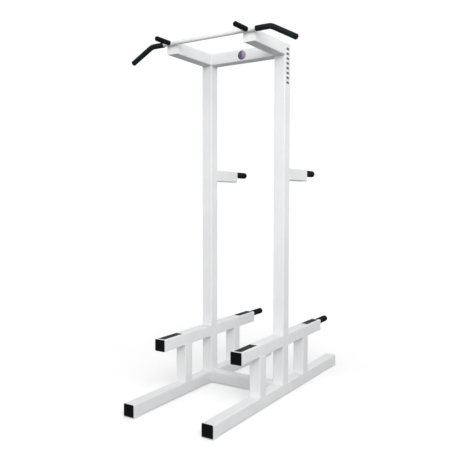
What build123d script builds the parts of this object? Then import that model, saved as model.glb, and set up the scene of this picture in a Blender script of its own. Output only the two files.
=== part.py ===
"""Free-standing power tower: two welded side frames of square steel tube, tied together by a
base crossbar and a top crossbar, with step rails, dip arms, a chin bar and rubber hand grips.

Millimetres. +Y is the back and +Z is up. The origin is on the floor, midway between the two
uprights, so X = 0 is the mirror plane and Y = 0 is the middle of the uprights."""
import os

from build123d import *

# Square frame tube and the flat plates that close it
tube_size = 76.2
tube_wall = 3.0
tube_corner = 6.0
plate_thickness = 4.0

# Side frames, from the floor up
frame_spacing = 558.0
foot_thickness = 8.0
foot_length = 44.0
foot_slope = 24.0
base_reach = 840.0
post_offset = 300.0
post_height = 247.0
step_reach = 552.0
dip_arm_z = 1442.0
dip_arm_reach = 300.0
tower_height = 2262.0
top_arm_reach = 418.0

# Round bars
chin_radius = 12.7
chin_wall = 2.5
chin_axis_below_top = 13.5
chin_bend_x = 430.0
chin_bend_radius = 75.0
chin_end_x = 589.0
chin_end_drop = 85.0
neutral_length = 138.0
handle_radius = 18.0
handle_wall = 3.0
handle_length = 163.0

# Rubber hand grips
grip_play = 0.1
grip_end_wall = 4.0
grip_end_round = 3.0
grip_mouth_round = 1.0
chin_grip_start_x = 333.0
chin_grip_radius = 16.5
neutral_grip_radius = 15.0
neutral_grip_gap = 20.0
handle_grip_radius = 22.0

# Plastic plug caps
cap_head = 74.2
cap_head_thickness = 3.0
cap_head_round = 1.6
cap_play = 0.3
cap_skirt_depth = 24.0
cap_skirt_wall = 2.6
cap_fin_height = 0.25
cap_fin_thickness = 1.6
cap_fin_pitch = 7.0
cap_fin_count = 3

# Anti-slip treads on the step rails
tread_length = 184.0
tread_width = 50.0
tread_thickness = 1.2
tread_corner = 4.0
tread_offset = 447.0

# Plain printed trim
trim_thickness = 0.8
badge_radius = 30.0
stripe_count = 8
stripe_pitch = 30.0
stripe_width = 34.0
stripe_height = 14.0
stripe_corner = 2.0
stripe_top_gap = 27.0

# Places that follow from the sizes above
half_tube = tube_size / 2
tube_bore = tube_size - 2 * tube_wall
frame_x = frame_spacing / 2
crossbar_length = frame_spacing - tube_size
base_z = foot_thickness + half_tube
base_top_z = foot_thickness + tube_size
step_z = base_top_z + post_height + half_tube
step_top_z = step_z + half_tube
top_z = tower_height - half_tube
chin_y = -(top_arm_reach + chin_radius)
chin_z = tower_height - chin_axis_below_top
handle_rise = half_tube - handle_grip_radius

sides = {"left": -1, "right": 1}
ends = {"front": -1, "rear": 1}
front, rear = -1, 1

os.makedirs("parts", exist_ok=True)


def save(builder, name):
    builder.part.label = name
    export_step(builder.part, f"parts/{name}.step")


def facing_y(x, y, z, direction):
    """Plane at a point, with its normal towards the front or the rear."""
    return Plane(origin=(x, y, z), x_dir=(1, 0, 0), z_dir=(0, direction, 0))


def facing_x(x, z):
    """Plane on the uprights' middle, with its normal towards +X."""
    return Plane(origin=(x, 0, z), x_dir=(0, 1, 0), z_dir=(1, 0, 0))


def square_tube(plane, length):
    """Hollow square tube that runs from a plane along its normal."""
    with BuildPart() as tube:
        with BuildSketch(plane):
            RectangleRounded(tube_size, tube_size, tube_corner)
            RectangleRounded(tube_bore, tube_bore, tube_corner - tube_wall, mode=Mode.SUBTRACT)
        extrude(amount=length)
    return tube


def end_plate(plane):
    """Flat plate welded over the open end of a square tube."""
    with BuildPart() as plate:
        with BuildSketch(plane):
            RectangleRounded(tube_size, tube_size, tube_corner)
        extrude(amount=plate_thickness)
    return plate


def plug_cap(plane):
    """Plastic plug: a square head outside the tube, and a hollow skirt with fins inside it."""
    skirt = tube_bore - 2 * cap_play - 2 * cap_fin_height
    skirt_bore = skirt - 2 * cap_skirt_wall
    fin = skirt + 2 * cap_fin_height
    outward = Axis(plane.origin, plane.z_dir)
    with BuildPart() as cap:
        with BuildSketch(plane):
            RectangleRounded(cap_head, cap_head, tube_corner - 1)
        extrude(amount=cap_head_thickness)
        fillet(cap.faces().sort_by(outward)[-1].edges(), cap_head_round)
        with BuildSketch(plane):
            RectangleRounded(skirt, skirt, tube_corner - tube_wall)
            RectangleRounded(skirt_bore, skirt_bore, 1, mode=Mode.SUBTRACT)
        extrude(amount=-cap_skirt_depth)
        for number in range(cap_fin_count):
            with BuildSketch(plane.offset(-cap_fin_pitch * (number + 0.6))):
                RectangleRounded(fin, fin, tube_corner - tube_wall)
                RectangleRounded(skirt_bore, skirt_bore, 1, mode=Mode.SUBTRACT)
            extrude(amount=-cap_fin_thickness)
    return cap


def round_tube(plane, radius, wall, length):
    """Straight round tube that runs from a plane along its normal."""
    with BuildPart() as tube:
        with BuildSketch(plane):
            Circle(radius)
            Circle(radius - wall, mode=Mode.SUBTRACT)
        extrude(amount=length)
    return tube


def straight_grip(plane, radius, bore_radius, bore_length):
    """Rubber sleeve with a closed end, pushed onto a straight round tube."""
    outward = Axis(plane.origin, plane.z_dir)
    with BuildPart() as grip:
        with BuildSketch(plane):
            Circle(radius)
        extrude(amount=bore_length + grip_end_wall)
        fillet(grip.faces().sort_by(outward)[-1].edges(), grip_end_round)
        fillet(grip.faces().sort_by(outward)[0].edges(), grip_mouth_round)
        with BuildSketch(plane):
            Circle(bore_radius + grip_play)
        extrude(amount=bore_length, mode=Mode.SUBTRACT)
    return grip


# The two side frames
for side, sign in sides.items():
    x = sign * frame_x
    save(square_tube(facing_y(x, -base_reach, base_z, rear), 2 * base_reach), f"base_rail_{side}")
    upright_top_z = tower_height - plate_thickness
    save(square_tube(Plane((x, 0, base_top_z)), upright_top_z - base_top_z), f"upright_{side}")
    save(end_plate(Plane((x, 0, upright_top_z))), f"upright_top_plate_{side}")
    for end, direction in ends.items():
        save(square_tube(Plane((x, direction * post_offset, base_top_z)), post_height), f"{end}_post_{side}")

    # Step rail: a run in front of the upright with a plug cap, and a run behind it with a plate
    step_run = step_reach - half_tube
    save(square_tube(facing_y(x, -half_tube, step_z, front), step_run), f"step_rail_front_{side}")
    rear_run = step_run - plate_thickness
    save(square_tube(facing_y(x, half_tube, step_z, rear), rear_run), f"step_rail_rear_{side}")
    step_plate = facing_y(x, step_reach - plate_thickness, step_z, rear)
    save(end_plate(step_plate), f"step_rail_end_plate_{side}")
    save(plug_cap(facing_y(x, -step_reach, step_z, front)), f"step_rail_cap_{side}")

    # Dip arm, out of the back of the upright
    dip_run = dip_arm_reach - half_tube - plate_thickness
    save(square_tube(facing_y(x, half_tube, dip_arm_z, rear), dip_run), f"dip_arm_{side}")
    dip_plate = facing_y(x, dip_arm_reach - plate_thickness, dip_arm_z, rear)
    save(end_plate(dip_plate), f"dip_arm_end_plate_{side}")

    # Top arm, out of the front of the upright
    top_run = top_arm_reach - half_tube - plate_thickness
    save(square_tube(facing_y(x, -half_tube, top_z, front), top_run), f"top_arm_{side}")
    top_plate = facing_y(x, plate_thickness - top_arm_reach, top_z, front)
    save(end_plate(top_plate), f"top_arm_end_plate_{side}")

# Crossbars between the uprights
crossbar_heights = {"base": base_z, "top": top_z}
for level, z in crossbar_heights.items():
    save(square_tube(facing_x(-crossbar_length / 2, z), crossbar_length), f"{level}_crossbar")

# At the four ends of the base rails: a foot plate with its inner end sloped, and a plug cap
for side, sign in sides.items():
    for end, direction in ends.items():
        outer = direction * base_reach
        inner = direction * (base_reach - foot_length)
        with BuildPart() as foot:
            with BuildSketch(facing_x(sign * frame_x - half_tube, 0)):
                with BuildLine():
                    Polyline(
                        (outer, 0),
                        (outer, foot_thickness),
                        (inner - direction * foot_slope, foot_thickness),
                        (inner, 0),
                        close=True,
                    )
                make_face()
            extrude(amount=tube_size)
        save(foot, f"foot_plate_{end}_{side}")
        cap_plane = facing_y(sign * frame_x, outer, base_z, direction)
        save(plug_cap(cap_plane), f"base_rail_cap_{end}_{side}")

# Chin bar: a straight middle in front of the two top arms, and an end that drops on each side
chin_tip_z = chin_z - chin_end_drop
with BuildPart() as chin_bar:
    with BuildLine() as chin_route:
        FilletPolyline(
            (-chin_end_x, chin_y, chin_tip_z),
            (-chin_bend_x, chin_y, chin_z),
            (chin_bend_x, chin_y, chin_z),
            (chin_end_x, chin_y, chin_tip_z),
            radius=chin_bend_radius,
        )
    with BuildSketch(Plane(origin=chin_route.line @ 0, z_dir=chin_route.line % 0)):
        Circle(chin_radius)
        Circle(chin_radius - chin_wall, mode=Mode.SUBTRACT)
    sweep(path=chin_route.line)
save(chin_bar, "chin_bar")

# Long grips over the chin bar's dropped ends, from just outside each arm round the bend
for side, sign in sides.items():
    root = Vector(sign * chin_grip_start_x, chin_y, chin_z)
    corner = Vector(sign * chin_bend_x, chin_y, chin_z)
    tip = Vector(sign * chin_end_x, chin_y, chin_tip_z)
    outward = (tip - corner).normalized()
    with BuildPart() as chin_grip:
        with BuildLine() as grip_route:
            FilletPolyline(root, corner, tip, radius=chin_bend_radius)
        with BuildSketch(Plane(origin=root, z_dir=(sign, 0, 0))):
            Circle(chin_grip_radius)
        sweep(path=grip_route.line)
        with BuildSketch(Plane(origin=tip, z_dir=outward)):
            Circle(chin_grip_radius)
        extrude(amount=grip_end_wall)
        fillet(chin_grip.faces().sort_by(Axis(tip, outward))[-1].edges(), grip_end_round)
        with BuildSketch(Plane(origin=root, z_dir=(sign, 0, 0))):
            Circle(chin_radius + grip_play)
        sweep(path=grip_route.line, mode=Mode.SUBTRACT)
    save(chin_grip, f"chin_grip_{side}")

# Straight handles: two point forward from the chin bar, two stand out behind the dip arms and
# two behind the step rails
for side, sign in sides.items():
    x = sign * frame_x
    with BuildPart() as neutral_tube:
        with BuildSketch(facing_y(x, chin_y, chin_z, front)):
            Circle(chin_radius)
            Circle(chin_radius - chin_wall, mode=Mode.SUBTRACT)
        extrude(amount=neutral_length)
        with BuildSketch(Plane(origin=(x - half_tube, chin_y, chin_z), z_dir=(1, 0, 0))):
            Circle(chin_radius)
        extrude(amount=tube_size, mode=Mode.SUBTRACT)
    save(neutral_tube, f"neutral_handle_tube_{side}")
    neutral_root = facing_y(x, chin_y - neutral_grip_gap, chin_z, front)
    neutral_bore = neutral_length - neutral_grip_gap
    save(straight_grip(neutral_root, neutral_grip_radius, chin_radius, neutral_bore), f"neutral_grip_{side}")

    handle_roots = {"dip": (dip_arm_reach, dip_arm_z), "low": (step_reach, step_z)}
    for name, (reach, z) in handle_roots.items():
        root = facing_y(x, reach, z + handle_rise, rear)
        save(round_tube(root, handle_radius, handle_wall, handle_length), f"{name}_handle_tube_{side}")
        save(straight_grip(root, handle_grip_radius, handle_radius, handle_length), f"{name}_grip_{side}")

# Anti-slip treads on the step rails
for side, sign in sides.items():
    for end, direction in ends.items():
        with BuildPart() as tread:
            with BuildSketch(Plane((sign * frame_x, direction * tread_offset, step_top_z))):
                RectangleRounded(tread_width, tread_length, tread_corner)
            extrude(amount=tread_thickness)
        save(tread, f"step_tread_{end}_{side}")

# Plain round badge on the top crossbar, and a column of plain stripes on the right upright
with BuildPart() as badge:
    with BuildSketch(facing_y(0, -half_tube, top_z, front)):
        Circle(badge_radius)
    extrude(amount=trim_thickness)
save(badge, "round_badge")

stripe_top = tower_height - stripe_top_gap - stripe_height / 2
with BuildPart() as stripes:
    for number in range(stripe_count):
        z = stripe_top - number * stripe_pitch
        with BuildSketch(facing_x(frame_x + half_tube, z)):
            RectangleRounded(stripe_width, stripe_height, stripe_corner)
        extrude(amount=trim_thickness)
save(stripes, "side_stripes")
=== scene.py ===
"""Looks of the power tower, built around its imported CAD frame.

Metres, in the row frame: +X runs from the left side frame to the right one, +Y to the back and
+Z up. Places come from the boxes of the CAD nodes, and the chin bar's bends from its mesh."""
import math

import bmesh
import bpy
from mathutils import Matrix, Vector


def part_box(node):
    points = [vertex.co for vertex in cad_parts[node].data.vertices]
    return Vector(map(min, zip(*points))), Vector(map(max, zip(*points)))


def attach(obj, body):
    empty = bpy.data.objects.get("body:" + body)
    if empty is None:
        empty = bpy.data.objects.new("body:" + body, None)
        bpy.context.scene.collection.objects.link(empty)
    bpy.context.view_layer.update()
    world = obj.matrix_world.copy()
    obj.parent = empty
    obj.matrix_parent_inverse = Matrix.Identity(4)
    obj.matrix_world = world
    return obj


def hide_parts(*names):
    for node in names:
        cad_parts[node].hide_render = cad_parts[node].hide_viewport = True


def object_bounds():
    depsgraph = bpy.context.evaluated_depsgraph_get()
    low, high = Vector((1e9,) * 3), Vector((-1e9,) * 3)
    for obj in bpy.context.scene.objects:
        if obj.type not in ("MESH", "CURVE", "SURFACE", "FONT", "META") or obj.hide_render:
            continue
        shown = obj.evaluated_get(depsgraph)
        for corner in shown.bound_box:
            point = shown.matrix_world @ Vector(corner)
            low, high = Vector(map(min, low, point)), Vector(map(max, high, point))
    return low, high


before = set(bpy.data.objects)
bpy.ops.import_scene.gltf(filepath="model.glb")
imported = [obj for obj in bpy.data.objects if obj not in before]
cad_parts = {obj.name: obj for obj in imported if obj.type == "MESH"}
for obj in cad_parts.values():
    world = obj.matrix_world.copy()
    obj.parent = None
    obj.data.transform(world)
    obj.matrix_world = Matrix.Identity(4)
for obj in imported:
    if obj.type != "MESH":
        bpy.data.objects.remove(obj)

cad_low, cad_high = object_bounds()

SIDES = ("left", "right")
ENDS = ("front", "rear")
MM = 0.001
X, Y, Z = Vector((1, 0, 0)), Vector((0, 1, 0)), Vector((0, 0, 1))
AXES = {"x": X, "y": Y, "z": Z}

# Weld beads. A bead's radius ripples along its length, and drifts a little over two long waves.
BEAD_RADIUS = 3.4 * MM
FLUSH_DEPTH = 2.6 * MM
SEAM_RADIUS = 0.8 * MM
RIPPLE_PITCH = 4.2 * MM
RIPPLE_STEPS = 5
RIPPLE_LOW = 0.9
RIPPLE_SWELL = 0.13
RIPPLE_DRIFT = 0.03
DRIFT_WAVES = (23 * MM, 61 * MM)
BEAD_SIDES = 10
BEAD_TIP = 0.25
TUBE_CORNER = 6 * MM
TUBE_CORNER_STEPS = 10
SEAT_BEAD = 3.6 * MM
SEAT_BEAD_STANDOFF = 2.2 * MM
SEAT_BEAD_OVERLAP = 2.5 * MM
SADDLE_BEAD = 2.2 * MM
FOOT_BEAD = 2.0 * MM
FOOT_BEAD_INSET = 1.5 * MM
FOOT_BEAD_END = 5 * MM
FOOT_BEAD_RISE = 0.6 * MM
SEED_STEP = 0.7

# Rubber grips
RIB_PITCH = 6.4 * MM
RIB_DEPTH = 0.9 * MM
RIB_STEPS = 8
RIB_STEEPNESS = 1.6
GRIP_SIDES = 64
GRIP_SHARP_DEGREES = 60
COLLAR = 7 * MM
MOUTH_ROUND = 1.2 * MM
GRIP_PLAY = 0.1 * MM
GRIP_END_WALL = 4 * MM
END_BAND = 5 * MM
DOME_SHARE = 0.34
VENT_RADIUS = 2.2 * MM
VENT_DEPTH = 1.6 * MM
VENT_LIP = 0.5 * MM
VENT_TAPER = 0.8
ARC_STEPS = 6

# Chin bar, whose two bends the chin grips follow
CHIN_BEND_RADIUS = 75 * MM
CHIN_TUBE_RADIUS = 12.7 * MM
CHIN_BORE_STEPS = 60

# Plug caps: a head with a recessed panel, and a skirt with fins that grip the tube's inside
CAP_HEAD = 3 * MM
CAP_ROUND = 1.6 * MM
CAP_CORNER = 5 * MM
CAP_CORNER_LOSS = 0.6
CAP_BEVEL = 0.3 * MM
CAP_BORDER = 5 * MM
CAP_RECESS = 0.7 * MM
CAP_CROWN = 0.5 * MM
CROWN_STEPS = (0.75, 0.5, 0.25)
PANEL_CORNER = 3 * MM
PANEL_SLOPE = (0.5 * MM, 1.2 * MM)
SKIRT_INSET = 3.55 * MM
SKIRT_WALL = 2.6 * MM
SKIRT_DEPTH = 24 * MM
SKIRT_CORNER = 3 * MM
BORE_CORNER = 1 * MM
FIN_COUNT = 3
FIN_PITCH = 7 * MM
FIN_START = 4.2 * MM
FIN_HEIGHT = 0.25 * MM
FIN_ROOT = 1.6 * MM
FIN_CREST = (1.3 * MM, 0.5 * MM)
GATE_RADIUS = 3 * MM
GATE_BEVEL = 0.3 * MM
GATE_DEPTH = 0.4 * MM
NIB_RADII = (1.2 * MM, 0.9 * MM)
NIB_RISE = 0.2 * MM

# Grit treads
GRIT_CELL = 1.0 * MM
GRIT_HEIGHT = 0.75 * MM
GRIT_FILM = 0.35 * MM
GRAIN_SHARES = (0.45, 0.55)
TREAD_CORNER = 4 * MM
TREAD_SHARP_DEGREES = 75

# Vinyl stripes: count, size, and the (inset, height) steps of a stripe's softened edge
STRIPE_COUNT = 8
STRIPE_HEIGHT = 14 * MM
STRIPE_CORNER = 2 * MM
STRIPE_EDGE = ((0.0, 0.0), (0.0, 0.2 * MM), (0.1 * MM, 0.34 * MM), (0.35 * MM, 0.4 * MM))

# Badge: the (inset, height) steps of its rim, and the resin dome inside it
BADGE_SIDES = 96
BADGE_RIM = (
    (0.0, 0.0),
    (0.0, 0.35 * MM),
    (0.3 * MM, 0.6 * MM),
    (0.9 * MM, 0.7 * MM),
    (1.3 * MM, 0.55 * MM),
)
RESIN_INSET = 1.6 * MM
RESIN_BASE = 0.6 * MM
RESIN_RISE = 1.1 * MM
RESIN_STEPS = 9

# Rubber colours, from dark to pale: the short grips are blacker than the long ones on the chin bar,
# whose paler tones are painted highlight standing in for the brighter light those grips catch
SHORT_GRIP_TONES = ((0.003, 0.0042, 0.0047), (0.0065, 0.0088, 0.0095))
CHIN_GRIP_PAINTED_LIGHT_TONES = ((0.0075, 0.0115, 0.014), (0.0155, 0.0235, 0.0285))

# Floor: its glow, from the weaker value near the tower to the full value far away
FLOOR_RADIUS = 90
NEAR_GLOW, FAR_GLOW = 0.26, 0.42
NEAR_FLOOR, FAR_FLOOR = 1.1, 3.2

# Surround: the light level at each elevation in degrees
SURROUND = (
    (-90, 0.26),
    (-16, 0.26),
    (-6, 0.6),
    (-2.6, 1.04),
    (42, 1.06),
    (60, 0.1),
    (90, 0.0),
)

# Key soft box
KEY_AZIMUTH = 40
KEY_DISTANCE = 3.8
KEY_HEIGHT = 3.1
KEY_SIZE = 2.2
KEY_WATTS = 90

# Camera: place in metres, angles in degrees and lens in millimetres
CAMERA_PLACE = Vector((2.010, -3.337, 1.277))
CAMERA_YAW = 32.48
CAMERA_PITCH = 2.98
CAMERA_ROLL = 0.07
CAMERA_SENSOR = 36
CAMERA_LENS = 45.476
CAMERA_REACH = 200


# ---------------------------------------------------------------- places taken from the frame

def middle(node):
    low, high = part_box(node)
    return (low + high) / 2


def extent(node):
    low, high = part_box(node)
    return high - low


# ---------------------------------------------------------------- mesh helpers

def skin(rings, closed=False):
    """Mesh data through a list of point rings of equal length. A closed skin joins its last ring to
    its first, and an open one gets a face over each end. A ring with one point is a tip."""
    points = []
    starts = []
    for ring in rings:
        starts.append(len(points))
        points.extend(ring)
    faces = []
    pairs = list(zip(range(len(rings)), range(1, len(rings))))
    if closed:
        pairs.append((len(rings) - 1, 0))
    for a, b in pairs:
        count = max(len(rings[a]), len(rings[b]))
        for j in range(count):
            k = (j + 1) % count
            corners = []
            for ring, order in ((a, (j, k)), (b, (k, j))):
                if len(rings[ring]) == 1:
                    corners.append(starts[ring])
                else:
                    corners.extend(starts[ring] + n for n in order)
            faces.append(corners)
    if not closed:
        for ring in (0, len(rings) - 1):
            if len(rings[ring]) > 1:
                faces.append([starts[ring] + n for n in range(len(rings[ring]))])
    return points, faces


def add_piece(name, shells, material, replaced=(), sharp_degrees=40):
    """One object made of closed shells. It rides on the frame and takes a material."""
    bm = bmesh.new()
    for points, faces in shells:
        corners = [bm.verts.new(p) for p in points]
        for face in faces:
            bm.faces.new([corners[n] for n in face])
    bmesh.ops.recalc_face_normals(bm, faces=bm.faces)
    mesh = bpy.data.meshes.new(name)
    bm.to_mesh(mesh)
    bm.free()
    mesh.shade_smooth()
    mesh.set_sharp_from_angle(angle=math.radians(sharp_degrees))
    mesh.materials.append(material)
    piece = bpy.data.objects.new(name, mesh)
    bpy.context.scene.collection.objects.link(piece)
    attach(piece, "root")
    if replaced:
        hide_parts(*replaced)
    return piece


def rounded_outline(half_u, half_v, corner, corner_steps=6, spacing=None):
    """Points (u, v) and outward normals round a rectangle with rounded corners, anticlockwise. The
    straight stretches are divided evenly when a spacing is given."""
    points = []
    normals = []
    quarter = math.pi / 2
    centres = ((1, 1), (-1, 1), (-1, -1), (1, -1))
    for number, (su, sv) in enumerate(centres):
        cu, cv = su * (half_u - corner), sv * (half_v - corner)
        for step in range(corner_steps + 1):
            angle = quarter * (number + step / corner_steps)
            normal = Vector((math.cos(angle), math.sin(angle)))
            points.append(Vector((cu, cv)) + corner * normal)
            normals.append(normal)
        if spacing:
            su, sv = centres[(number + 1) % 4]
            angle = quarter * (number + 1)
            normal = Vector((math.cos(angle), math.sin(angle)))
            following = Vector((su * (half_u - corner), sv * (half_v - corner))) + corner * normal
            start = points[-1].copy()
            count = max(1, round((following - start).length / spacing))
            for step in range(1, count):
                points.append(start.lerp(following, step / count))
                normals.append(normal)
    return points, normals


def quarter_round(radius, steps=5):
    """(inward, along) pairs of a quarter circle that starts square to the side and ends flat."""
    pairs = []
    for step in range(steps + 1):
        angle = math.pi / 2 * step / steps
        pairs.append((radius * (1 - math.cos(angle)), radius * math.sin(angle)))
    return pairs


# ---------------------------------------------------------------- materials

class Shader:
    """A new material with one Principled shader, and short ways to add the nodes that feed it."""

    def __init__(self, name, **sockets):
        self.material = bpy.data.materials.new(name)
        self.material.use_nodes = True
        self.nodes = self.material.node_tree.nodes
        self.links = self.material.node_tree.links
        self.principled = self.nodes["Principled BSDF"]
        self.place = self.nodes.new("ShaderNodeTexCoord").outputs["Object"]
        for socket, value in sockets.items():
            self.principled.inputs[socket.replace("_", " ")].default_value = value

    def noise(self, scale, detail=3.0, roughness=0.5, distortion=0.0):
        node = self.nodes.new("ShaderNodeTexNoise")
        node.inputs["Scale"].default_value = scale
        node.inputs["Detail"].default_value = detail
        node.inputs["Roughness"].default_value = roughness
        node.inputs["Distortion"].default_value = distortion
        self.links.new(self.place, node.inputs["Vector"])
        return node.outputs["Fac"]

    def cells(self, scale, output="Distance"):
        node = self.nodes.new("ShaderNodeTexVoronoi")
        node.inputs["Scale"].default_value = scale
        self.links.new(self.place, node.inputs["Vector"])
        return node.outputs[output]

    def ramp(self, source, stops):
        node = self.nodes.new("ShaderNodeValToRGB")
        elements = node.color_ramp.elements
        while len(elements) < len(stops):
            elements.new(0.5)
        for element, (position, colour) in zip(elements, stops):
            element.position = position
            element.color = (*colour, 1)
        self.links.new(source, node.inputs["Fac"])
        return node.outputs["Color"]

    def span(self, source, low, high, from_low=0.3, from_high=0.7):
        node = self.nodes.new("ShaderNodeMapRange")
        node.inputs["From Min"].default_value = from_low
        node.inputs["From Max"].default_value = from_high
        node.inputs["To Min"].default_value = low
        node.inputs["To Max"].default_value = high
        self.links.new(source, node.inputs["Value"])
        return node.outputs["Result"]

    def multiply(self, factor, first, second):
        """The first colour, multiplied by the second as far as the factor says."""
        node = self.nodes.new("ShaderNodeMix")
        node.data_type = "RGBA"
        node.blend_type = "MULTIPLY"
        node.inputs["Factor"].default_value = factor
        for source, name in ((first, "A_Color"), (second, "B_Color")):
            socket = next(s for s in node.inputs if s.identifier == name)
            self.links.new(source, socket)
        return next(s for s in node.outputs if s.identifier == "Result_Color")

    def colour(self, source):
        self.links.new(source, self.principled.inputs["Base Color"])

    def roughness(self, source):
        self.links.new(source, self.principled.inputs["Roughness"])

    def bumps(self, *layers):
        """Bump layers (height, strength, distance in metres), one upon the other."""
        normal = None
        for height, strength, distance in layers:
            node = self.nodes.new("ShaderNodeBump")
            node.inputs["Strength"].default_value = strength
            node.inputs["Distance"].default_value = distance
            self.links.new(height, node.inputs["Height"])
            if normal:
                self.links.new(normal, node.inputs["Normal"])
            normal = node.outputs["Normal"]
        self.links.new(normal, self.principled.inputs["Normal"])


def powder_coat():
    """White powder coat: orange peel, faint drifts of tone and a few dull patches."""
    paint = Shader("powder_coat_white", Specular_IOR_Level=0.5)
    drift = paint.noise(5.0, detail=4.0, roughness=0.6)
    base = paint.ramp(drift, [(0.32, (0.795, 0.805, 0.815)), (0.68, (0.85, 0.853, 0.857))])
    speck = paint.noise(340.0, detail=2.0)
    mottle = paint.ramp(speck, [(0.3, (0.95, 0.95, 0.955)), (0.62, (1.0, 1.0, 1.0))])
    paint.colour(paint.multiply(0.6, base, mottle))
    paint.roughness(paint.span(paint.noise(14.0, detail=5.0, roughness=0.65), 0.27, 0.42))
    peel = paint.noise(520.0, detail=2.0, roughness=0.4)
    waves = paint.noise(85.0, detail=1.0)
    paint.bumps((waves, 0.25, 0.25 * MM), (peel, 0.35, 0.1 * MM))
    return paint.material


def grip_rubber(name, dark, pale):
    """Black moulded rubber with a fine stipple and a bluish sheen, mottled at random between two
    colours. Paler colours, such as the chin grips' pair, are painted highlight.
    """
    rubber = Shader(
        name,
        Specular_IOR_Level=0.04,
        Sheen_Weight=0.06,
        Sheen_Roughness=0.4,
        Sheen_Tint=(0.5, 0.75, 0.95, 1),
    )
    rubber_mottle = rubber.noise(28.0, detail=5.0, roughness=0.65)
    # A random mottle between the two colours; the chin grips' paler pair is painted highlight.
    rubber.colour(rubber.ramp(rubber_mottle, [(0.3, dark), (0.72, pale)]))
    rubber.roughness(rubber.span(rubber.noise(60.0, detail=4.0), 0.36, 0.52))
    stipple = rubber.cells(1500.0)
    grain = rubber.noise(700.0, detail=3.0)
    rubber.bumps((stipple, 0.35, 0.12 * MM), (grain, 0.3, 0.1 * MM))
    return rubber.material


def cap_plastic():
    """Black polyethylene with a spark-eroded mould texture."""
    plastic = Shader("cap_plastic_black", Specular_IOR_Level=0.08)
    flow = plastic.noise(22.0, detail=4.0, distortion=0.6)
    tones = [(0.3, (0.0018, 0.0026, 0.0026)), (0.7, (0.005, 0.006, 0.006))]
    plastic.colour(plastic.ramp(flow, tones))
    plastic.roughness(plastic.span(plastic.noise(45.0, detail=4.0), 0.4, 0.58))
    plastic.bumps((plastic.noise(950.0, detail=3.0, roughness=0.6), 0.45, 0.12 * MM))
    return plastic.material


def tread_grit():
    """Dark anti-slip grit: dull grains, a few of them lighter."""
    grit = Shader("tread_grit_grey", Specular_IOR_Level=0.2)
    grain = grit.cells(620.0, output="Color")
    split = grit.nodes.new("ShaderNodeSeparateColor")
    grit.links.new(grain, split.inputs["Color"])
    tones = [
        (0.0, (0.011, 0.012, 0.013)),
        (0.75, (0.024, 0.025, 0.026)),
        (1.0, (0.1, 0.1, 0.105)),
    ]
    tone = grit.ramp(split.outputs["Red"], tones)
    worn = [(0.35, (0.72, 0.72, 0.72)), (0.65, (1.0, 1.0, 1.0))]
    wear = grit.ramp(grit.noise(38.0, detail=4.0), worn)
    grit.colour(grit.multiply(1.0, tone, wear))
    grit.roughness(grit.span(split.outputs["Green"], 0.55, 0.95, 0.0, 1.0))
    grit.bumps((grit.cells(900.0), 0.6, 0.3 * MM))
    return grit.material


def badge_print(centre, radius):
    """A plain print under clear resin: violet blue that fades to rose across the disc."""
    badge = Shader(
        "badge_print_domed", Coat_Weight=1.0, Coat_Roughness=0.06, Specular_IOR_Level=0.4
    )
    split = badge.nodes.new("ShaderNodeSeparateXYZ")
    badge.links.new(badge.place, split.inputs["Vector"])
    across = badge.span(split.outputs["X"], 0.0, 1.0, centre.x - radius, centre.x + radius)
    hues = [
        (0.0, (0.016, 0.014, 0.075)),
        (0.42, (0.06, 0.05, 0.2)),
        (0.72, (0.5, 0.33, 0.48)),
        (1.0, (0.36, 0.16, 0.25)),
    ]
    down = badge.span(split.outputs["Z"], 1.0, 0.0, centre.z - radius, centre.z + radius)
    shade = badge.ramp(down, [(0.35, (1.0, 1.0, 1.0)), (0.95, (0.35, 0.33, 0.4))])
    toned = badge.multiply(1.0, badge.ramp(across, hues), shade)
    screen = [(0.3, (0.86, 0.86, 0.86)), (0.7, (1.0, 1.0, 1.0))]
    dots = badge.ramp(badge.noise(900.0, detail=1.0), screen)
    badge.colour(badge.multiply(1.0, toned, dots))
    badge.roughness(badge.span(badge.noise(70.0, detail=3.0), 0.22, 0.34))
    badge.bumps((badge.noise(55.0, detail=2.0), 0.15, 0.15 * MM))
    return badge.material


def stripe_print():
    """Charcoal vinyl with a slightly uneven face."""
    vinyl = Shader("stripe_vinyl_charcoal", Specular_IOR_Level=0.5)
    shade = vinyl.noise(150.0, detail=3.0)
    vinyl.colour(vinyl.ramp(shade, [(0.3, (0.022, 0.022, 0.024)), (0.7, (0.042, 0.042, 0.045))]))
    vinyl.roughness(vinyl.span(vinyl.noise(90.0, detail=4.0), 0.3, 0.45))
    vinyl.bumps((vinyl.noise(260.0, detail=2.0), 0.25, 0.1 * MM))
    return vinyl.material


# ---------------------------------------------------------------- weld beads

def ripple(distance, seed):
    """How the bead's radius swells and shrinks along its length, about 1."""
    scale = abs(math.sin(math.pi * distance / RIPPLE_PITCH))
    short, long = DRIFT_WAVES
    drift = math.sin(distance / short + seed) + math.sin(distance / long + 2.3 * seed)
    return RIPPLE_LOW + RIPPLE_SWELL * scale + RIPPLE_DRIFT * drift


def bead_ring(centre, outward, along, radius):
    ring = []
    for number in range(BEAD_SIDES):
        angle = 2 * math.pi * number / BEAD_SIDES
        ring.append(centre + radius * (math.cos(angle) * outward + math.sin(angle) * along))
    return ring


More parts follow.
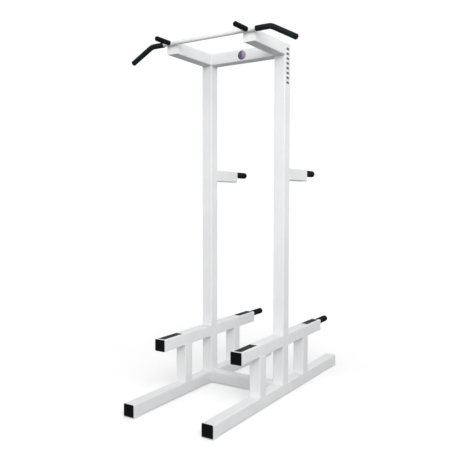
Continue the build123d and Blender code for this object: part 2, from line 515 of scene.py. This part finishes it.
def square_weld(node, axis, end, radius, seed=0.0, flush=()):
    """A bead round one end of a square tube: node's box gives the section and the place. On the
    flush sides, such as "+x", the bead sinks into the groove beside the other tube's corner."""
    low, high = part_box(node)
    w = AXES[axis]
    u, v = [AXES[other] for other in "xyz" if other != axis]
    origin = (low + high) / 2
    place = (low if end == "low" else high).dot(w)
    origin += w * (place - origin.dot(w))
    half_u, half_v = (high - low).dot(u) / 2, (high - low).dot(v) / 2
    spacing = RIPPLE_PITCH / RIPPLE_STEPS
    outline = rounded_outline(half_u, half_v, TUBE_CORNER, TUBE_CORNER_STEPS, spacing)
    points, normals = outline
    sides = [AXES[side[1]] * (1 if side[0] == "+" else -1) for side in flush]
    rings = []
    travelled = 0.0
    previous = points[-1]
    for point, normal in zip(points, normals):
        travelled += (point - previous).length
        previous = point
        outward = normal.x * u + normal.y * v
        swell = radius * ripple(travelled, seed)
        sunk = max([0.0] + [outward.dot(side) for side in sides])
        depth = FLUSH_DEPTH * sunk * sunk
        centre = origin + point.x * u + point.y * v - depth * outward
        rings.append(bead_ring(centre, outward, w, swell))
    return skin(rings, closed=True)


def open_weld(route, outward, radius, seed):
    """A bead along an open route of points, with tapered round ends. Its crest faces outward."""
    rings = []
    travelled = 0.0
    lengths = [0.0]
    for a, b in zip(route, route[1:]):
        travelled += (b - a).length
        lengths.append(travelled)
    for number, point in enumerate(route):
        ahead = route[min(number + 1, len(route) - 1)]
        behind = route[max(number - 1, 0)]
        tangent = (ahead - behind).normalized()
        side = tangent.cross(outward).normalized()
        crest = side.cross(tangent).normalized()
        from_end = min(lengths[number], travelled - lengths[number])
        taper = min(1.0, from_end / (2 * radius))
        full = radius * (BEAD_TIP + (1 - BEAD_TIP) * math.sqrt(taper * (2 - taper)))
        rings.append(bead_ring(point, crest, side, full * ripple(lengths[number], seed)))
    return skin(rings)


def straight_route(start, finish):
    count = max(2, round((finish - start).length / (RIPPLE_PITCH / RIPPLE_STEPS)))
    return [start.lerp(finish, step / count) for step in range(count + 1)]


def saddle_weld(centre, radius, bead, seed):
    """A bead where a round handle along -Y meets the round chin bar along X, both of one radius."""
    rings = []
    count = round(2 * math.pi * radius / (RIPPLE_PITCH / RIPPLE_STEPS))
    for number in range(count):
        angle = 2 * math.pi * number / count
        outward = math.cos(angle) * X + math.sin(angle) * Z
        point = centre + radius * outward - radius * abs(math.cos(angle)) * Y
        swell = bead * ripple(number * RIPPLE_PITCH / RIPPLE_STEPS, seed)
        rings.append(bead_ring(point, outward, -Y, swell))
    return skin(rings, closed=True)


def add_welds(paint):
    """Beads round every tube that stands on another, and ground seams round the end plates."""
    sides = ("-x", "+x")
    butts = {
        "upright": (("z", "low", "foot", sides),),
        "front_post": (("z", "low", "foot", sides), ("z", "high", "head", sides)),
        "rear_post": (("z", "low", "foot", sides), ("z", "high", "head", sides)),
        "step_rail_front": (("y", "high", "root", sides),),
        "step_rail_rear": (("y", "low", "root", sides),),
        "dip_arm": (("y", "low", "root", sides),),
        "top_arm": (("y", "high", "root", ("-x", "+x", "+z")),),
    }
    crossbars = {"base": ("-z", "+z"), "top": ("-y", "+y", "+z")}
    seams = {
        "upright_top_plate": ("z", "low"),
        "dip_arm_end_plate": ("y", "low"),
        "top_arm_end_plate": ("y", "high"),
        "step_rail_end_plate": ("y", "low"),
    }
    seed = 0.0
    for side in SIDES:
        for member, joints in butts.items():
            for axis, end, label, flush in joints:
                seed += SEED_STEP
                shell = square_weld(f"{member}_{side}", axis, end, BEAD_RADIUS, seed, flush)
                add_piece(f"weld_{member}_{label}_{side}", [shell], paint)
        for plate, (axis, end) in seams.items():
            shell = square_weld(f"{plate}_{side}", axis, end, SEAM_RADIUS)
            add_piece(f"seam_{plate}_{side}", [shell], paint)
        for level, flush in crossbars.items():
            seed += SEED_STEP
            end = "low" if side == "left" else "high"
            shell = square_weld(f"{level}_crossbar", "x", end, BEAD_RADIUS, seed, flush)
            add_piece(f"weld_{level}_crossbar_{side}", [shell], paint)


def add_bar_welds(paint):
    """Beads above and below the chin bar where it lies on each top arm's plate, and round the
    root of each neutral handle."""
    bar_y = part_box("top_arm_end_plate_left")[0].y - CHIN_TUBE_RADIUS
    bar_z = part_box("chin_bar")[1].z - CHIN_TUBE_RADIUS
    in_front = CHIN_TUBE_RADIUS - SEAT_BEAD_STANDOFF
    from_axis = CHIN_TUBE_RADIUS + SEAT_BEAD - SEAT_BEAD_OVERLAP
    rise = math.sqrt(from_axis * from_axis - in_front * in_front)
    for number, side in enumerate(SIDES):
        low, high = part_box(f"top_arm_end_plate_{side}")
        shells = []
        for up in (-1, 1):
            start = Vector((low.x + SEAT_BEAD, bar_y + in_front, bar_z + up * rise))
            finish = Vector((high.x - SEAT_BEAD, start.y, start.z))
            shells.append(open_weld(straight_route(start, finish), up * Z, SEAT_BEAD, number + up))
        add_piece(f"weld_chin_bar_seat_{side}", shells, paint)
        centre = Vector((middle(f"top_arm_end_plate_{side}").x, bar_y, bar_z))
        shell = saddle_weld(centre, CHIN_TUBE_RADIUS, SADDLE_BEAD, number + 0.4)
        add_piece(f"weld_neutral_handle_{side}", [shell], paint)


def add_foot_welds(paint):
    """A bead along both long sides of each foot plate, in the groove under the rail's corner."""
    for end in ENDS:
        for side in SIDES:
            low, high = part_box(f"foot_plate_{end}_{side}")
            shells = []
            for x, outward in ((low.x + FOOT_BEAD_INSET, -X), (high.x - FOOT_BEAD_INSET, X)):
                start = Vector((x, low.y + FOOT_BEAD_END, high.z + FOOT_BEAD_RISE))
                finish = Vector((x, high.y - FOOT_BEAD_END, start.z))
                shells.append(open_weld(straight_route(start, finish), outward, FOOT_BEAD, x))
            add_piece(f"weld_foot_plate_{end}_{side}", shells, paint)


# ---------------------------------------------------------------- rubber grips

class Straight:
    """A straight route from a point along a direction."""

    def __init__(self, origin, direction):
        self.origin = origin
        self.direction = direction
        self.side = direction.cross(Z).normalized()
        self.up = self.side.cross(direction).normalized()

    def at(self, s):
        return self.origin + s * self.direction, self.side, self.up


class Bent:
    """A level run outwards along X, an arc, and a run that drops outwards, all at one Y."""

    def __init__(self, root, corner, tip, radius):
        self.root = root
        self.outward = (corner - root).normalized()
        drop = (tip - corner).normalized()
        self.turn = self.outward.angle(drop)
        self.radius = radius
        self.level = (corner - root).length - radius * math.tan(self.turn / 2)
        self.arc = radius * self.turn
        dropped = (tip - corner).length - radius * math.tan(self.turn / 2)
        self.length = self.level + self.arc + dropped

    def at(self, s):
        bent = min(max(s - self.level, 0.0), self.arc)
        angle = bent / self.radius
        direction = math.cos(angle) * self.outward - math.sin(angle) * Z
        up = math.sin(angle) * self.outward + math.cos(angle) * Z
        start = self.root + min(s, self.level) * self.outward
        across = self.radius * (math.sin(angle) * self.outward - (1 - math.cos(angle)) * Z)
        beyond = max(s - self.level - self.arc, 0.0)
        return start + across + beyond * direction, Y, up


def grip_profile(bore, bore_depth, radius, length, bore_steps=1):
    """(distance, radius) pairs of a sleeve's section: from the blind end of its bore, out of the
    mouth, over the collar, the ribs and the domed end, to the vent in the middle of the end."""
    profile = [(bore_depth, 0.0)]
    profile += [(bore_depth * (1 - step / bore_steps), bore) for step in range(bore_steps + 1)]
    for step in range(ARC_STEPS + 1):
        angle = math.pi / 2 * step / ARC_STEPS
        lip = MOUTH_ROUND * (1 - math.cos(angle))
        profile.append((lip, radius - MOUTH_ROUND * (1 - math.sin(angle))))
    profile.append((COLLAR, radius))
    dome = DOME_SHARE * radius + MOUTH_ROUND
    ribbed = length - COLLAR - END_BAND - dome
    ribs = int(ribbed / RIB_PITCH)
    pitch = ribbed / ribs
    for step in range(1, ribs * RIB_STEPS):
        wave = math.sin(2 * math.pi * step / RIB_STEPS)
        height = min(1.0, max(0.0, 0.5 - RIB_STEEPNESS * wave))
        profile.append((COLLAR + step * pitch / RIB_STEPS, radius - RIB_DEPTH * (1 - height)))
    profile.append((length - dome - END_BAND, radius))
    for step in range(ARC_STEPS + 1):
        angle = math.pi / 2 * step / ARC_STEPS
        along, inward = dome * (1 - math.sin(angle)), dome * (1 - math.cos(angle))
        profile.append((length - along, radius - inward))
    profile.append((length, VENT_RADIUS + VENT_LIP))
    profile.append((length - VENT_LIP, VENT_RADIUS))
    profile.append((length - VENT_DEPTH, VENT_TAPER * VENT_RADIUS))
    profile.append((length - VENT_DEPTH, 0.0))
    return profile


def grip_shell(route, profile):
    rings = []
    for s, r in profile:
        centre, side, up = route.at(s)
        if r == 0.0:
            rings.append([centre])
            continue
        ring = []
        for number in range(GRIP_SIDES):
            angle = 2 * math.pi * number / GRIP_SIDES
            ring.append(centre + r * (math.cos(angle) * side + math.sin(angle) * up))
        rings.append(ring)
    return skin(rings)


def add_short_grips(rubber):
    """The six straight sleeves, sized like the CAD sleeves and tubes that they stand for."""
    for side in SIDES:
        for name, direction in (("neutral", -Y), ("dip", Y), ("low", Y)):
            low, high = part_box(f"{name}_grip_{side}")
            radius = (high.x - low.x) / 2
            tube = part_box(f"{name}_handle_tube_{side}")
            bore = (tube[1].x - tube[0].x) / 2 + GRIP_PLAY
            centre = (low + high) / 2
            start_y = low.y if direction.y > 0 else high.y
            bore_depth = tube[1].y - start_y if direction.y > 0 else start_y - tube[0].y
            route = Straight(Vector((centre.x, start_y, centre.z)), direction)
            profile = grip_profile(bore, bore_depth, radius, high.y - low.y)
            add_piece(
                f"{name}_sleeve_{side}",
                [grip_shell(route, profile)],
                rubber,
                [f"{name}_grip_{side}"],
                GRIP_SHARP_DEGREES,
            )


def add_chin_grips(rubber):
    """The two long sleeves over the chin bar's dropped ends."""
    bar_low, bar_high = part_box("chin_bar")
    grip_radius = (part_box("chin_grip_right")[1].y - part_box("chin_grip_right")[0].y) / 2
    axis_y = (bar_low.y + bar_high.y) / 2
    axis_z = bar_high.z - CHIN_TUBE_RADIUS
    for side, sign in zip(SIDES, (-1, 1)):
        low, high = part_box(f"chin_grip_{side}")
        start_x = high.x if sign < 0 else low.x
        root = Vector((start_x, axis_y, axis_z))
        corner, tip = chin_corners(sign, axis_y, axis_z)
        route = Bent(root, corner, tip, CHIN_BEND_RADIUS)
        bore = CHIN_TUBE_RADIUS + GRIP_PLAY
        full = route.length + GRIP_END_WALL
        profile = grip_profile(bore, route.length, grip_radius, full, CHIN_BORE_STEPS)
        add_piece(
            f"chin_sleeve_{side}",
            [grip_shell(route, profile)],
            rubber,
            [f"chin_grip_{side}"],
            GRIP_SHARP_DEGREES,
        )


def chin_corners(sign, axis_y, axis_z):
    """The corner and the tip of the chin bar's axis on one side, from the bar's own mesh: the tip
    is the middle of its end ring, and the corner is where the drop meets the level run."""
    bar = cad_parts["chin_bar"].data
    far = max(sign * v.co.x for v in bar.vertices)
    ring = [v.co for v in bar.vertices if sign * v.co.x > far - 2 * CHIN_TUBE_RADIUS]
    lowest = min(ring, key=lambda p: p.z)
    highest = max((p for p in ring if sign * p.x > far - MM), key=lambda p: p.z)
    slant = Vector((highest.x - lowest.x, 0, highest.z - lowest.z)).normalized()
    drop = Vector((slant.z * sign, 0, -abs(slant.x)))
    tip = Vector(((highest.x + lowest.x) / 2, axis_y, (highest.z + lowest.z) / 2))
    reach = (axis_z - tip.z) / -drop.z
    return tip - reach * drop, tip


# ---------------------------------------------------------------- plug caps

def cap_skirt_layers(skirt):
    """(half size, corner, height) of the outlines from inside the hollow skirt, over its mouth and
    the fins, to the seat of the head. Heights run outwards from the tube's end."""
    bore = skirt - SKIRT_WALL
    crest = skirt + FIN_HEIGHT
    layers = [(bore, BORE_CORNER, 0.0), (bore, BORE_CORNER, -SKIRT_DEPTH)]
    layers.append((skirt, SKIRT_CORNER, -SKIRT_DEPTH))
    for fin in reversed(range(FIN_COUNT)):
        top = -(FIN_PITCH * fin + FIN_START)
        layers.append((skirt, SKIRT_CORNER, top - FIN_ROOT))
        layers += [(crest, SKIRT_CORNER, top - step) for step in FIN_CREST]
        layers.append((skirt, SKIRT_CORNER, top))
    layers.append((skirt, SKIRT_CORNER, 0.0))
    return layers


def cap_head_layers(half):
    """(half size, corner, height) of the outlines over the head: its rounded edge, the border, the
    recessed panel with a slight crown, and the gate mark with its nib."""
    layers = [(half - CAP_BEVEL, CAP_CORNER, 0.0), (half, CAP_CORNER, CAP_BEVEL)]
    for inward, along in quarter_round(CAP_ROUND):
        corner = CAP_CORNER - CAP_CORNER_LOSS * inward
        layers.append((half - inward, corner, CAP_HEAD - CAP_ROUND + along))
    rim = half - CAP_ROUND - CAP_BORDER
    panel = CAP_HEAD - CAP_RECESS
    upper, lower = PANEL_SLOPE
    layers.append((rim, PANEL_CORNER, CAP_HEAD))
    layers.append((rim - upper, PANEL_CORNER, CAP_HEAD - CAP_RECESS / 2))
    layers.append((rim - lower, PANEL_CORNER, panel))
    for step in CROWN_STEPS:
        size = GATE_RADIUS + step * (rim - GATE_RADIUS)
        layers.append((size, GATE_RADIUS, panel + CAP_CROWN * (1 - step * step)))
    flat = panel + CAP_CROWN
    well = flat - GATE_DEPTH
    inner = GATE_RADIUS - GATE_BEVEL
    root, tip = NIB_RADII
    layers += [(GATE_RADIUS, GATE_RADIUS, flat), (inner, inner, well)]
    layers += [(root, root, well), (tip, tip, flat + NIB_RISE)]
    return layers


def add_caps(plastic):
    """The six plug caps, each made of outlines stacked along the tube's axis."""
    places = {f"base_rail_cap_front_{side}": -Y for side in SIDES}
    places.update({f"base_rail_cap_rear_{side}": Y for side in SIDES})
    places.update({f"step_rail_cap_{side}": -Y for side in SIDES})
    skirt = extent("upright_left").x / 2 - SKIRT_INSET
    for node, outward in places.items():
        low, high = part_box(node)
        face_y = low.y if outward.y < 0 else high.y
        centre = middle(node)
        seat = Vector((centre.x, face_y - outward.y * CAP_HEAD, centre.z))
        rings = []
        for size, corner, height in cap_skirt_layers(skirt) + cap_head_layers(extent(node).x / 2):
            outline, _ = rounded_outline(size, size, min(corner, 0.999 * size))
            rings.append([seat + p.x * X + p.y * Z + height * outward for p in outline])
        add_piece(node.replace("_cap_", "_plug_"), [skin(rings)], plastic, [node])


# ---------------------------------------------------------------- treads, badge and stripes

def hashed(i, j, seed):
    """A repeatable number from 0 to 1 for a grid cell."""
    value = math.sin(i * 127.1 + j * 311.7 + seed * 74.7) * 43758.5453
    return value - math.floor(value)


def rounded_grid_point(a, b, half_u, half_v, corner):
    """The point at (a, b), both from -1 to 1, of a grid that fills a rounded rectangle."""
    u, v = a * half_u, b * half_v
    over_u = (abs(u) - (half_u - corner)) / corner
    over_v = (abs(v) - (half_v - corner)) / corner
    if over_u > 0 and over_v > 0:
        round_u = over_u * math.sqrt(1 - over_v * over_v / 2)
        round_v = over_v * math.sqrt(1 - over_u * over_u / 2)
        u = math.copysign(half_u - corner + corner * round_u, u)
        v = math.copysign(half_v - corner + corner * round_v, v)
    return u, v


def tread_shell(low, high, seed):
    """A strip with a rough top: a grid of grains of different heights, and a plain underside."""
    centre = (low + high) / 2
    half_u, half_v = (high.x - low.x) / 2, (high.y - low.y) / 2
    columns, rows = round(2 * half_u / GRIT_CELL), round(2 * half_v / GRIT_CELL)
    fine_share, coarse_share = GRAIN_SHARES
    points = []
    for j in range(rows + 1):
        for i in range(columns + 1):
            a, b = 2 * i / columns - 1, 2 * j / rows - 1
            u, v = rounded_grid_point(a, b, half_u, half_v, TREAD_CORNER)
            fine, coarse = hashed(i, j, seed), hashed(i // 2, j // 2, seed)
            height = GRIT_HEIGHT * (fine_share * fine + coarse_share * coarse)
            if i in (0, columns) or j in (0, rows):
                height = 0.0
            points.append(Vector((centre.x + u, centre.y + v, low.z + GRIT_FILM + height)))
    wide = columns + 1
    faces = [
        (j * wide + i, j * wide + i + 1, (j + 1) * wide + i + 1, (j + 1) * wide + i)
        for j in range(rows)
        for i in range(columns)
    ]
    border = [i for i in range(wide)]
    border += [j * wide + columns for j in range(1, rows + 1)]
    border += [rows * wide + i for i in range(columns - 1, -1, -1)]
    border += [j * wide for j in range(rows - 1, 0, -1)]
    under = []
    for index in border:
        under.append(len(points))
        points.append(Vector((points[index].x, points[index].y, low.z)))
    for n in range(len(border)):
        m = (n + 1) % len(border)
        faces.append((border[n], border[m], under[m], under[n]))
    faces.append(tuple(under))
    return points, faces


def add_treads(grit):
    """The four grit strips, each with grains of its own."""
    seed = 1
    for end in ENDS:
        for side in SIDES:
            node = f"step_tread_{end}_{side}"
            add_piece(
                node.replace("tread", "grit_tread"),
                [tread_shell(*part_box(node), seed)],
                grit,
                [node],
                TREAD_SHARP_DEGREES,
            )
            seed += 1


def add_badge():
    """A domed resin disc with a fine rim, on the top crossbar."""
    low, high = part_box("round_badge")
    centre = Vector(((low.x + high.x) / 2, high.y, (low.z + high.z) / 2))
    radius = (high.x - low.x) / 2
    layers = [(radius - inset, height) for inset, height in BADGE_RIM]
    for step in range(1, RESIN_STEPS):
        part = 1 - step / RESIN_STEPS
        layers.append((part * (radius - RESIN_INSET), RESIN_BASE + RESIN_RISE * (1 - part * part)))
    rings = []
    for r, height in layers:
        ring = []
        for number in range(BADGE_SIDES):
            angle = 2 * math.pi * number / BADGE_SIDES
            ring.append(centre + r * math.cos(angle) * X + r * math.sin(angle) * Z - height * Y)
        rings.append(ring)
    rings.append([centre - (RESIN_BASE + RESIN_RISE) * Y])
    resin = badge_print(centre, radius)
    add_piece("badge_disc", [skin(rings)], resin, ["round_badge"])


def add_stripes(vinyl):
    """The column of plain stripes, each a thin film with softened edges."""
    low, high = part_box("side_stripes")
    half_u, half_v = (high.y - low.y) / 2, STRIPE_HEIGHT / 2
    pitch = (high.z - low.z - STRIPE_HEIGHT) / (STRIPE_COUNT - 1)
    shells = []
    for number in range(STRIPE_COUNT):
        centre = Vector((low.x, (low.y + high.y) / 2, high.z - half_v - number * pitch))
        rings = []
        for inset, height in STRIPE_EDGE:
            outline, _ = rounded_outline(half_u - inset, half_v - inset, STRIPE_CORNER, 5)
            rings.append([centre + p.x * Y + p.y * Z + height * X for p in outline])
        shells.append(skin(rings))
    add_piece("upright_stripes", shells, vinyl, ["side_stripes"])


# ---------------------------------------------------------------- floor, light and camera

def add_floor():
    """A plain pale floor that glows less near the tower, so that the tower's soft shadow shows. It
    lights nothing itself, so that the undersides stay in shade."""
    bpy.ops.mesh.primitive_circle_add(vertices=96, radius=FLOOR_RADIUS, fill_type="NGON")
    floor = bpy.context.object
    floor.name = "studio_floor"
    pale = Shader("studio_floor_pale", Roughness=0.9, Specular_IOR_Level=0.1)
    pale.colour(pale.ramp(pale.noise(2.0), [(0.3, (0.9, 0.9, 0.9)), (0.7, (0.93, 0.93, 0.93))]))
    pale.principled.inputs["Emission Color"].default_value = (1, 1, 1, 1)
    distance = pale.nodes.new("ShaderNodeVectorMath")
    distance.operation = "LENGTH"
    pale.links.new(pale.place, distance.inputs[0])
    glow = pale.span(distance.outputs["Value"], NEAR_GLOW, FAR_GLOW, NEAR_FLOOR, FAR_FLOOR)
    pale.links.new(glow, pale.principled.inputs["Emission Strength"])
    floor.data.materials.append(pale.material)
    floor.visible_diffuse = False
    floor.visible_glossy = False


def set_world():
    """Soft studio surround: bright from the horizon to nearly half way up, dark overhead and dim
    below."""
    world = bpy.data.worlds.new("studio_surround")
    bpy.context.scene.world = world
    world.use_nodes = True
    nodes, links = world.node_tree.nodes, world.node_tree.links
    place = nodes.new("ShaderNodeTexCoord")
    split = nodes.new("ShaderNodeSeparateXYZ")
    links.new(place.outputs["Generated"], split.inputs["Vector"])
    ramp = nodes.new("ShaderNodeValToRGB")
    spread = nodes.new("ShaderNodeMapRange")
    spread.inputs["From Min"].default_value = -1
    spread.inputs["From Max"].default_value = 1
    links.new(split.outputs["Z"], spread.inputs["Value"])
    links.new(spread.outputs["Result"], ramp.inputs["Fac"])
    elements = ramp.color_ramp.elements
    while len(elements) < len(SURROUND):
        elements.new(0.5)
    for element, (elevation, level) in zip(elements, SURROUND):
        element.position = (math.sin(math.radians(elevation)) + 1) / 2
        element.color = (level, level, level, 1)
    background = nodes["Background"]
    links.new(ramp.outputs["Color"], background.inputs["Color"])
    background.inputs["Strength"].default_value = 1.0


def add_key_light():
    """A square soft box that faces the tower's middle. Azimuth 0 would stand it in front (-Y), and
    90 to the right (+X)."""
    data = bpy.data.lights.new("key_softbox", "AREA")
    data.shape = "SQUARE"
    data.size = KEY_SIZE
    data.energy = KEY_WATTS
    light = bpy.data.objects.new("key_softbox", data)
    bpy.context.scene.collection.objects.link(light)
    a = math.radians(KEY_AZIMUTH)
    place = Vector((KEY_DISTANCE * math.sin(a), -KEY_DISTANCE * math.cos(a), KEY_HEIGHT))
    aim = (cad_low + cad_high) / 2
    light.location = place
    light.rotation_mode = "QUATERNION"
    light.rotation_quaternion = (place - aim).to_track_quat("Z", "Y")


def add_camera():
    """The camera stands in front and to the right of the tower, a little above waist height."""
    yaw, pitch, roll = (math.radians(a) for a in (CAMERA_YAW, CAMERA_PITCH, CAMERA_ROLL))
    level = Vector((math.cos(yaw), math.sin(yaw), 0))
    forward = Vector((-math.sin(yaw), math.cos(yaw), 0))
    ahead = math.cos(pitch) * forward - math.sin(pitch) * Z
    upward = level.cross(ahead)
    right = math.cos(roll) * level + math.sin(roll) * upward
    up = math.cos(roll) * upward - math.sin(roll) * level
    data = bpy.data.cameras.new("studio_camera")
    data.sensor_width = CAMERA_SENSOR
    data.lens = CAMERA_LENS
    data.clip_end = CAMERA_REACH
    camera = bpy.data.objects.new("studio_camera", data)
    bpy.context.scene.collection.objects.link(camera)
    turn = Matrix((right, up, -ahead)).transposed().to_4x4()
    camera.matrix_world = Matrix.Translation(CAMERA_PLACE) @ turn
    bpy.context.scene.camera = camera


# ---------------------------------------------------------------- put together

paint = powder_coat()
short_rubber = grip_rubber("grip_rubber_black", *SHORT_GRIP_TONES)
# The chin grips' rubber is a paler copy of the black one: painted highlight.
chin_rubber_painted_light = grip_rubber("grip_rubber_painted_highlight", *CHIN_GRIP_PAINTED_LIGHT_TONES)
plastic = cap_plastic()
grit = tread_grit()
vinyl = stripe_print()

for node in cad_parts.values():
    node.data.materials.clear()
    node.data.materials.append(paint)

add_welds(paint)
add_bar_welds(paint)
add_foot_welds(paint)
add_short_grips(short_rubber)
add_chin_grips(chin_rubber_painted_light)
add_caps(plastic)
add_treads(grit)
add_badge()
add_stripes(vinyl)

add_floor()
set_world()
add_key_light()
add_camera()
bpy.context.scene.view_settings.view_transform = "Standard"
